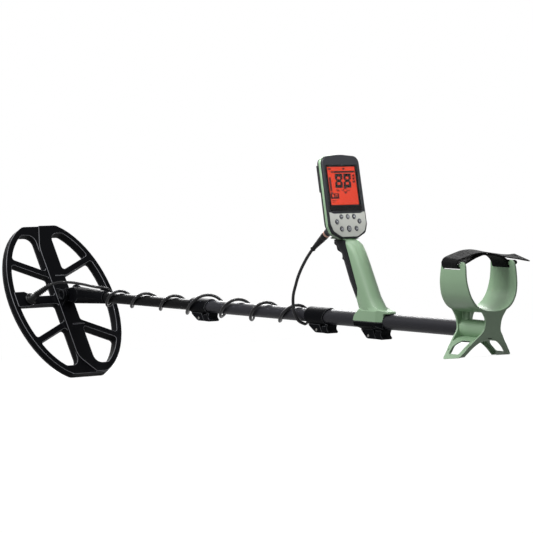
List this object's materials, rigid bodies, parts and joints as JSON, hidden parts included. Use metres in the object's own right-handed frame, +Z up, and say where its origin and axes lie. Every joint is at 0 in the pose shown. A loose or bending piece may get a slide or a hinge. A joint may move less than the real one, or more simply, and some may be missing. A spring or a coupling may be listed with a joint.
{
  "type": "metal detector",
  "caption": "Telescopic metal detector with an open double-D coil, wound lead, cam-locked shaft, upright control pod with lit screen, grip and strapped armrest.",
  "frame": {"origin": "On the standing surface, under the middle of the overall box of the detector as it stands on the heel of its coil and the two feet of its armrest.", "axes": "+X from the coil to the armrest, +Y to the right of a person holding it, +Z up."},
  "size_m": [1.1731, 0.229, 0.3373],
  "materials": {
    "black_moulding": "fine-textured black nylon moulding",
    "skid_plastic": "scuffed black polyethylene",
    "fibre_tube": "satin black glass-fibre tube",
    "anodised_tube": "satin black anodised aluminium",
    "sage_plastic": "sage green satin moulding",
    "soft_rubber": "matte black rubber",
    "steel": "zinc-plated steel",
    "copper_wire": "enamelled copper wire",
    "copper_ring": "rose-copper plated metal",
    "pod_black": "fine-textured dark grey moulding",
    "screen_glass": "glossy tinted window",
    "lit_screen": "red-lit display",
    "board_green": "solder mask",
    "battery_wrap": "shrink wrap",
    "keypad_grey": "light grey silicone keypad",
    "button_rubber": "dark silicone",
    "webbing": "woven black webbing"
  },
  "bodies": {
    "upper_shaft": {"upper_tube": "anodised_tube", "upper_tube_cap": "black_moulding", "upper_cam_collar": "black_moulding", "upper_cam_pin": "steel", "armrest": "sage_plastic", "armrest_screw": "steel", "armrest_strap": "webbing", "lead_wraps_upper": "soft_rubber"},
    "middle_shaft": {"middle_tube": "anodised_tube", "middle_tube_ring": "black_moulding", "lower_cam_collar": "black_moulding", "lower_cam_pin": "steel", "lead_wraps_lower": "soft_rubber"},
    "lower_shaft": {"shaft_tip": "black_moulding", "lower_tube": "fibre_tube", "lower_tube_plug": "black_moulding", "lead_coil_end": "soft_rubber"},
    "coil": {"coil_housing": "black_moulding", "coil_skid_plate": "skid_plastic", "transmit_winding": "copper_wire", "receive_winding": "copper_wire", "coil_lead_boot": "soft_rubber", "hinge_bolt": "black_moulding", "hinge_nut": "black_moulding", "hinge_washers": "soft_rubber"},
    "lower_lever": {"lower_cam_lever": "black_moulding"},
    "upper_lever": {"upper_cam_lever": "black_moulding"},
    "grip": {"grip_body": "sage_plastic", "grip_pad": "soft_rubber", "grip_clamp": "black_moulding", "grip_clamp_screws": "steel", "grip_cam_pin": "steel", "pod_bezel": "pod_black", "pod_band": "sage_plastic", "pod_back": "pod_black", "pod_screws": "steel", "screen_window": "screen_glass", "screen_panel": "lit_screen", "circuit_board": "board_green", "battery_cell": "battery_wrap", "speaker": "black_moulding", "keypad_plate": "keypad_grey", "lead_plug": "copper_ring", "lead_plug_boot": "soft_rubber", "lead_rise": "soft_rubber"},
    "grip_lever": {"grip_cam_lever": "black_moulding"},
    "key_upper_left": {"button_upper_left": "button_rubber"},
    "key_upper_middle": {"button_upper_middle": "button_rubber"},
    "key_upper_right": {"button_upper_right": "button_rubber"},
    "key_side_left": {"button_side_left": "button_rubber"},
    "key_side_right": {"button_side_right": "button_rubber"},
    "key_lower_left": {"button_lower_left": "button_rubber"},
    "key_main": {"button_main": "button_rubber"},
    "key_lower_right": {"button_lower_right": "button_rubber"}
  },
  "joints": [
    {"name": "middle_slide", "type": "slide", "parent": "upper_shaft", "child": "middle_shaft", "axis": [0.9944, 0, -0.1055], "range_m": [-0.08, 0.13], "deforming": ["lead_wraps_upper"]},
    {"name": "lower_slide", "type": "slide", "parent": "middle_shaft", "child": "lower_shaft", "axis": [0.9944, 0, -0.1055], "range_m": [-0.08, 0.12], "deforming": ["lead_wraps_lower"]},
    {"name": "coil_tilt", "type": "hinge", "parent": "lower_shaft", "child": "coil", "pos_m": [-0.49159, 0, 0.15172], "axis": [0, 1, 0], "range_deg": [-52, 90], "deforming": ["lead_coil_end"]},
    {"name": "lower_lever_turn", "type": "hinge", "parent": "middle_shaft", "child": "lower_lever", "pos_m": [-0.11389, 0, 0.09101], "axis": [0, 1, 0], "range_deg": [0, 100]},
    {"name": "upper_lever_turn", "type": "hinge", "parent": "upper_shaft", "child": "upper_lever", "pos_m": [0.18627, 0, 0.05765], "axis": [0, 1, 0], "range_deg": [0, 100]},
    {"name": "grip_slide", "type": "slide", "parent": "upper_shaft", "child": "grip", "axis": [0.9944, 0, -0.1055], "range_m": [-0.035, 0.13], "deforming": ["lead_rise"]},
    {"name": "grip_lever_turn", "type": "hinge", "parent": "grip", "child": "grip_lever", "pos_m": [0.30937, 0, 0.04257], "axis": [0, 1, 0], "range_deg": [0, 100]},
    {"name": "press_upper_left", "type": "slide", "parent": "grip", "child": "key_upper_left", "axis": [-0.996, 0, -0.0896], "range_m": [0, 0.0008], "stiffness_N_per_m": 1800},
    {"name": "press_upper_middle", "type": "slide", "parent": "grip", "child": "key_upper_middle", "axis": [-0.996, 0, -0.0896], "range_m": [0, 0.0008], "stiffness_N_per_m": 1800},
    {"name": "press_upper_right", "type": "slide", "parent": "grip", "child": "key_upper_right", "axis": [-0.996, 0, -0.0896], "range_m": [0, 0.0008], "stiffness_N_per_m": 1800},
    {"name": "press_side_left", "type": "slide", "parent": "grip", "child": "key_side_left", "axis": [-0.996, 0, -0.0896], "range_m": [0, 0.0008], "stiffness_N_per_m": 1800},
    {"name": "press_side_right", "type": "slide", "parent": "grip", "child": "key_side_right", "axis": [-0.996, 0, -0.0896], "range_m": [0, 0.0008], "stiffness_N_per_m": 1800},
    {"name": "press_lower_left", "type": "slide", "parent": "grip", "child": "key_lower_left", "axis": [-0.996, 0, -0.0896], "range_m": [0, 0.0008], "stiffness_N_per_m": 1800},
    {"name": "press_main", "type": "slide", "parent": "grip", "child": "key_main", "axis": [-0.996, 0, -0.0896], "range_m": [0, 0.0008], "stiffness_N_per_m": 1800},
    {"name": "press_lower_right", "type": "slide", "parent": "grip", "child": "key_lower_right", "axis": [-0.996, 0, -0.0896], "range_m": [0, 0.0008], "stiffness_N_per_m": 1800}
  ]
}
